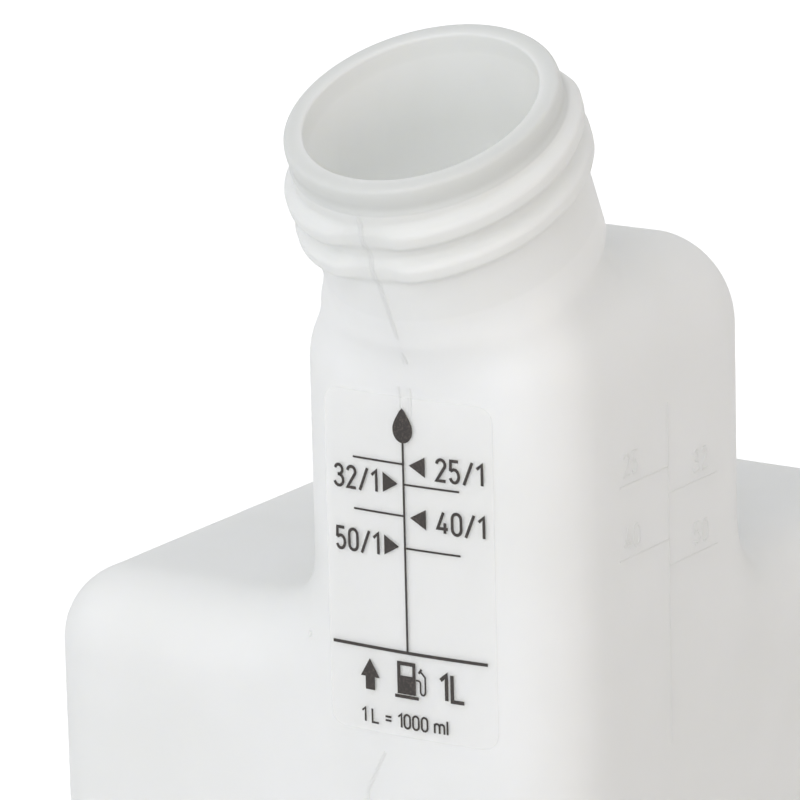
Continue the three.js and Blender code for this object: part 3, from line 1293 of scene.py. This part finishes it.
@dataclass
class ScaleLabel:
    """The scale printed on the clear film, with the litre mark and the signs under it."""

    form: BottleForm
    placement: Placement
    stem_x: float = -1.4
    stem_top: float = 27.6
    stem_width: float = 0.3
    rule_width: float = 0.26
    rule_reach: Point2 = (-9.1, 6.7)
    pointer_lift: float = 0.05
    litre_reach: Point2 = (-12.9, 10.25)
    litre_width: float = 0.42
    litre_up: float = 0.1
    litre_at: Point2 = (3.15, -5.6)
    caption_at: Point2 = (-8.75, -9.95)
    ink_height: float = 0.05
    ink_gap: float = 0.015
    ratio_figures: Lettering = Lettering(3.12, 0.4, 1.06)
    litre_figures: Lettering = Lettering(3.9, 0.5)
    caption_figures: Lettering = Lettering(2.05, 0.27, 1.1)
    ratios: tuple[Ratio, ...] = (
        Ratio("25/1", 24.6, Side.RIGHT, 22.95, 3.3),
        Ratio("32/1", 22.0, Side.LEFT, 20.33, -12.15),
        Ratio("40/1", 17.9, Side.RIGHT, 16.2, 3.3),
        Ratio("50/1", 13.75, Side.LEFT, 12.2, -12.15),
    )

    def _drop(self, pen: Pen) -> None:
        """A drop of oil at the head of the stem.

        Args:
            pen: The pen to lay it with.
        """
        tip, low, widest, half, point, steps = 31.75, 27.3, 29.0, 1.47, 0.03, 8
        slimmest, bend, early = 0.02, 0.9, -0.25
        shares = np.arange(1, steps + 1) / steps
        neck = half * (slimmest + (1 - slimmest) * smooth(shares**bend, early, 1.0))
        belly = np.maximum(half * np.cos(shares * math.pi / 2), point)
        halves = np.concatenate([[point], neck, belly])
        rises = [[tip], tip + (widest - tip) * shares, widest - (widest - low) * np.sin(shares * math.pi / 2)]
        heights = np.concatenate(rises)
        sides = [np.stack([self.stem_x + side * halves, heights], -1) for side in (1, -1)]
        pen.bar(*sides)

    def _pointer(self, pen: Pen, side: Side, tip_up: float) -> None:
        """A small triangle that points from the figures to the stem.

        Args:
            pen: The pen to lay it with.
            side: Side of the stem that it stands on.
            tip_up: Height of its tip.
        """
        tip, base = (-0.5, 1.8) if side is Side.RIGHT else (-2.35, -4.55)
        half, point = 1.3, 0.03
        upper = [(tip, tip_up + point), (base, tip_up + half)]
        lower = [(tip, tip_up - point), (base, tip_up - half)]
        pen.bar(*((lower, upper) if side is Side.RIGHT else (upper, lower)))

    def _arrow(self, pen: Pen) -> None:
        """The arrow up to the litre mark.

        Args:
            pen: The pen to lay it with.
        """
        x, tip, neck, foot, half, shaft, point = -7.25, -1.5, -3.85, -5.55, 1.45, 0.72, 0.03
        pen.bar([(x + point, tip), (x + half, neck)], [(x - point, tip), (x - half, neck)])
        pen.bar([(x + shaft, neck), (x + shaft, foot)], [(x - shaft, neck), (x - shaft, foot)])

    def _pump(self, pen: Pen) -> None:
        """A fuel pump: cabinet with its window, plinth, hose and nozzle.

        Args:
            pen: The pen to lay it with.
        """
        left, right, top, low = -3.05, -0.3, -1.1, -5.35
        window_left, window_right, window_top, window_low = -2.55, -0.75, -1.6, -2.95
        hose_width, nozzle_width = 0.24, 0.3
        block = [
            ((left, top), (right, window_top)),
            ((left, window_top), (window_left, window_low)),
            ((window_right, window_top), (right, window_low)),
            ((left, window_low), (right, low)),
            ((-3.45, low - 0.12), (0.12, low - 0.55)),
        ]
        for (x0, z0), (x1, z1) in block:
            pen.bar([(x1, z0), (x1, z1)], [(x0, z0), (x0, z1)])
        hose = [(-0.25, -3.3), (0.12, -3.3), *arc(0.12, -3.65, 0.3, 0.35, 80, 0, 4), (0.42, -4.6)]
        hose += [*arc(0.78, -4.7, 0.36, 0.42, 180, 360, 8), (1.14, -3.2), (1.14, -2.75), (0.35, -1.95)]
        pen.stroke(hose, hose_width)
        pen.stroke([(0.2, -2.35), (0.62, -1.75)], nozzle_width)

    def build_print(self, ink: Material) -> Piece:
        """Print the scale on the film.

        Args:
            ink: The ink's material.

        Returns:
            The print.
        """
        pen = Pen(FilmFace(self.form), self.ink_height, -self.ink_gap)
        self._drop(pen)
        pen.stroke([(self.stem_x, self.stem_top), (self.stem_x, self.litre_up)], self.stem_width)
        pen.stroke([(end, self.litre_up) for end in self.litre_reach], self.litre_width)
        for ratio in self.ratios:
            rule_end = self.rule_reach[0] if ratio.figures is Side.RIGHT else self.rule_reach[1]
            pen.stroke([(rule_end, ratio.rule_up), (self.stem_x, ratio.rule_up)], self.rule_width)
            self.ratio_figures.write(pen, ratio.text, (ratio.figures_from, ratio.figures_up))
            middle_up = ratio.figures_up + self.ratio_figures.cap / 2
            self._pointer(pen, ratio.figures, middle_up + self.pointer_lift)
        self._arrow(pen)
        self._pump(pen)
        self.litre_figures.write(pen, "1L", self.litre_at)
        self.caption_figures.write(pen, "1 L = 1000 ml", self.caption_at)
        printed = pen.piece("label_print", self.placement)
        return dress(printed, ink)


@dataclass
class MouldMarks:
    """What the mould left on the shell: parting line, gate mark and a faint scale on the right face."""

    form: BottleForm
    thread: ThreadForm
    placement: Placement
    ridge_width: float = 0.5
    ridge_height: float = 0.1
    ridge_sink: float = 0.05
    ridge_step: float = 2.0
    bevel: float = 0.3
    ridges: tuple[tuple[Point2, ...], ...] = (
        ((-1.9, 34.5), (-1.9, 31.0)),
        ((-0.3, 34.5), (-0.3, 31.0)),
        ((-5.4, -13.6), (-8.2, -19.0), (-9.4, -40.0), (-9.6, -90.0)),
    )
    gate_at: Point2 = (-17.2, 0.0)
    gate_radius: float = 0.4
    gate_height: float = 0.3
    neck_seam_half: float = 0.42
    neck_seam_height: float = 0.06
    neck_seam_depths: tuple[float, float, float] = (4.0, 27.0, 0.35)
    scale_line: float = 26.0
    scale_reach: Point2 = (29.0, -16.0)
    scale_width: float = 0.35
    scale_height: float = 0.07
    scale_bevel: float = 0.25
    tick_width: float = 0.3
    tick_drop: float = 1.0
    scale_figures: Lettering = Lettering(3.2, 0.42, 1.1, 0.2)
    scale_marks: tuple[tuple[str, Point2, float], ...] = (
        ("25", (15.0, 21.5), 14.0),
        ("32", (32.0, 18.0), 38.0),
        ("40", (15.0, 12.0), 14.0),
        ("50", (32.0, 8.5), 38.0),
    )

    def _parting_line(self) -> Pen:
        """The fine ridges down the neck, the tower and the body where the mould's halves met.

        Returns:
            The pen that laid them.
        """
        wall = Pen(FrontWall(self.form), self.ridge_height, self.ridge_sink)
        for line in self.ridges:
            wall.stroke(line, self.ridge_width, self.bevel, self.ridge_step)
        return wall

    def _gate_mark(self) -> Pen:
        """The small nub on the body's front, left of the label.

        Returns:
            The pen that laid it.
        """
        (x, up), half, steps = self.gate_at, self.gate_radius, 7
        turns = math.pi * (np.arange(steps) + 0.5) / steps
        ups = up - half * np.cos(turns)
        right, left = (np.stack([x + side * half * np.sin(turns), ups], -1) for side in (1, -1))
        wall = Pen(FrontWall(self.form), self.gate_height, self.ridge_sink)
        wall.bar(right, left, self.bevel)
        return wall

    def _neck_seam(self) -> Pen:
        """The parting line over the thread, in front and behind.

        Returns:
            The pen that laid it.
        """
        neck = Pen(NeckWall(self.form, self.thread), self.neck_seam_height, self.ridge_sink)
        depths, half = np.arange(*self.neck_seam_depths), self.neck_seam_half
        for middle in (0.0, math.pi * self.form.neck_radius):
            edges = (middle - half, middle + half)
            left, right = (np.stack([np.full_like(depths, edge), depths], -1) for edge in edges)
            neck.bar(left, right, self.bevel)
        return neck

    def _side_scale(self) -> Pen:
        """A faint scale moulded into the right face: a line with plain figures beside it.

        Returns:
            The pen that laid it.
        """
        side = Pen(SideWall(self.form), self.scale_height, self.ridge_sink)
        side.stroke([(self.scale_line, up) for up in self.scale_reach], self.scale_width, self.scale_bevel)
        for text, start, end in self.scale_marks:
            self.scale_figures.write(side, text, start)
            tick_up = start[1] - self.tick_drop
            side.stroke([(self.scale_line, tick_up), (end, tick_up)], self.tick_width, self.scale_bevel)
        return side

    def build(self, plastic: Material) -> None:
        """Build every mark as a piece of its own.

        Args:
            plastic: The bottle's plastic.
        """
        marks = {
            "parting_line": self._parting_line(),
            "gate_mark": self._gate_mark(),
            "neck_parting_line": self._neck_seam(),
            "moulded_side_scale": self._side_scale(),
        }
        for name, pen in marks.items():
            dress(pen.piece(name, self.placement), plastic)


@dataclass(frozen=True)
class Softbox:
    """One soft lamp that faces the bottle.

    Azimuth is degrees round from the front, positive to the right, and elevation is degrees above the table.
    Lengths are metres, and the colour is an sRGB hex.
    """

    name: str
    azimuth: float
    elevation: float
    away: float
    size: Point2
    watts: float
    colour: str
    aim_z: float = 0.12

    def hang(self) -> None:
        """Hang it."""
        data = bpy.data.lights.new(self.name, "AREA")
        data.shape = "RECTANGLE"
        data.size, data.size_y = self.size
        data.energy = self.watts
        data.color = linear(self.colour)[:3]
        a, e = math.radians(self.azimuth), math.radians(self.elevation)
        out = Vector((math.sin(a) * math.cos(e), -math.cos(a) * math.cos(e), math.sin(e)))
        lamp = bpy.data.objects.new(self.name, data)
        lamp.location = Vector((0.0, 0.0, self.aim_z)) + out * self.away
        lamp.rotation_euler = out.to_track_quat("Z", "Y").to_euler()
        bpy.context.scene.collection.objects.link(lamp)


@dataclass
class Studio:
    """White paper floor and soft lights in metres, and the camera in millimetres of the mould's frame."""

    placement: Placement
    azimuth: float = math.radians(33.4)
    elevation: float = math.radians(14.5)
    roll: float = math.radians(1.4)
    aside: float = 2.3
    raised: float = -31.9
    distance: float = 813.4
    focal_px: float = 6500.0
    picture_px: float = 800.0
    sensor_mm: float = 36.0
    clip_metres: Point2 = (0.01, 50.0)
    aim: tuple[float, float, float] = (0.0, -1.2, LITRE_MARK_Z)
    floor_size: float = 6.0
    softboxes: tuple[Softbox, ...] = (
        Softbox("key_softbox", 4, 24, 1.6, (1.4, 1.4), 10.0, "FFFFFF"),
        Softbox("warm_fill", 82, 8, 1.8, (1.0, 1.2), 3.2, "FFC66E"),
    )
    world_colour: str = "FBFBFF"
    world_light: float = 0.8
    swing: float = 0.36
    bright_side: tuple[float, float, float] = (0.0, -0.95, 0.3)

    def camera(self) -> None:
        """Set the camera at the photograph's place and angle."""
        a, e, r = self.azimuth, self.elevation, self.roll
        right = np.array([math.cos(a), math.sin(a), 0.0])
        up = np.array([-math.sin(a) * math.sin(e), math.cos(a) * math.sin(e), math.cos(e)])
        back = np.array([math.sin(a) * math.cos(e), -math.cos(a) * math.cos(e), math.sin(e)])
        turned_right = math.cos(r) * right - math.sin(r) * up
        turned_up = math.sin(r) * right + math.cos(r) * up
        middle = np.array(self.aim) - self.aside * turned_right - self.raised * turned_up
        place = middle + self.distance * back
        data = bpy.data.cameras.new("studio_camera")
        data.sensor_width = self.sensor_mm
        data.lens = self.focal_px / self.picture_px * self.sensor_mm
        data.clip_start, data.clip_end = self.clip_metres
        camera = bpy.data.objects.new("studio_camera", data)
        turn = Matrix((turned_right, turned_up, back)).transposed().to_4x4()
        camera.matrix_world = Matrix.Translation(Vector(self.placement.metres(place)[0])) @ turn
        bpy.context.scene.collection.objects.link(camera)
        bpy.context.scene.camera = camera

    def lights(self) -> None:
        """Hang the lamps and set the even light of the white room."""
        for softbox in self.softboxes:
            softbox.hang()
        world = bpy.data.worlds.new("white_room")
        world.use_nodes = True
        tree = world.node_tree
        tree.nodes.clear()
        way = add_node(tree, "ShaderNodeTexCoord").outputs["Generated"]
        dot = {"operation": "DOT_PRODUCT"}
        towards = add_node(tree, "ShaderNodeVectorMath", dot, _0=way, _1=self.bright_side).outputs["Value"]
        least, most = self.world_light * (1 - self.swing), self.world_light * (1 + self.swing)
        level = add_node(
            tree, "ShaderNodeMapRange", Value=towards, From_Min=-1.0, To_Min=least, To_Max=most
        ).outputs["Result"]
        room = add_node(tree, "ShaderNodeBackground", Color=linear(self.world_colour), Strength=level)
        white = add_node(tree, "ShaderNodeBackground", Color=WHITE, Strength=1.0)
        mix = add_node(
            tree,
            "ShaderNodeMixShader",
            Fac=seen_directly(tree),
            _1=room.outputs["Background"],
            _2=white.outputs["Background"],
        )
        add_node(tree, "ShaderNodeOutputWorld", Surface=mix.outputs["Shader"])
        bpy.context.scene.world = world

    def floor(self, paper: Material) -> None:
        """Lay the paper floor.

        Args:
            paper: The paper's material.
        """
        half = self.floor_size / 2
        corners = np.array([[-half, -half, 0.0], [half, -half, 0.0], [half, half, 0.0], [-half, half, 0.0]])
        floor = make_piece("paper_floor", corners, [(0, 1, 2, 3)], False)
        floor.data.materials.append(paper)

    def build(self) -> None:
        """Build the studio."""
        self.camera()
        self.lights()
        self.floor(StudioPaper().material())
        scene = bpy.context.scene
        scene.view_settings.view_transform = "Standard"


def main() -> None:
    """Build the studio, the bottle and its label."""
    logging.basicConfig(level=logging.INFO, format="%(name)s: %(message)s")
    form, thread, lip = BottleForm(), ThreadForm(), LipForm()
    placement = Placement(form)
    Studio(placement).build()
    plastic = NaturalPolyethylene().material()
    film = LabelFilm().material()
    ink = ScreenInk().material()
    BlownShell(form, thread, lip, placement).build(plastic)
    MouldMarks(form, thread, placement).build(plastic)
    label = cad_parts["scale_label"]
    label.data.materials.clear()
    label.data.materials.append(film)
    LOG.info("scale_label: the part's own film, %s", film.name)
    ScaleLabel(form, placement).build_print(ink)


if __name__ == "__main__":
    main()
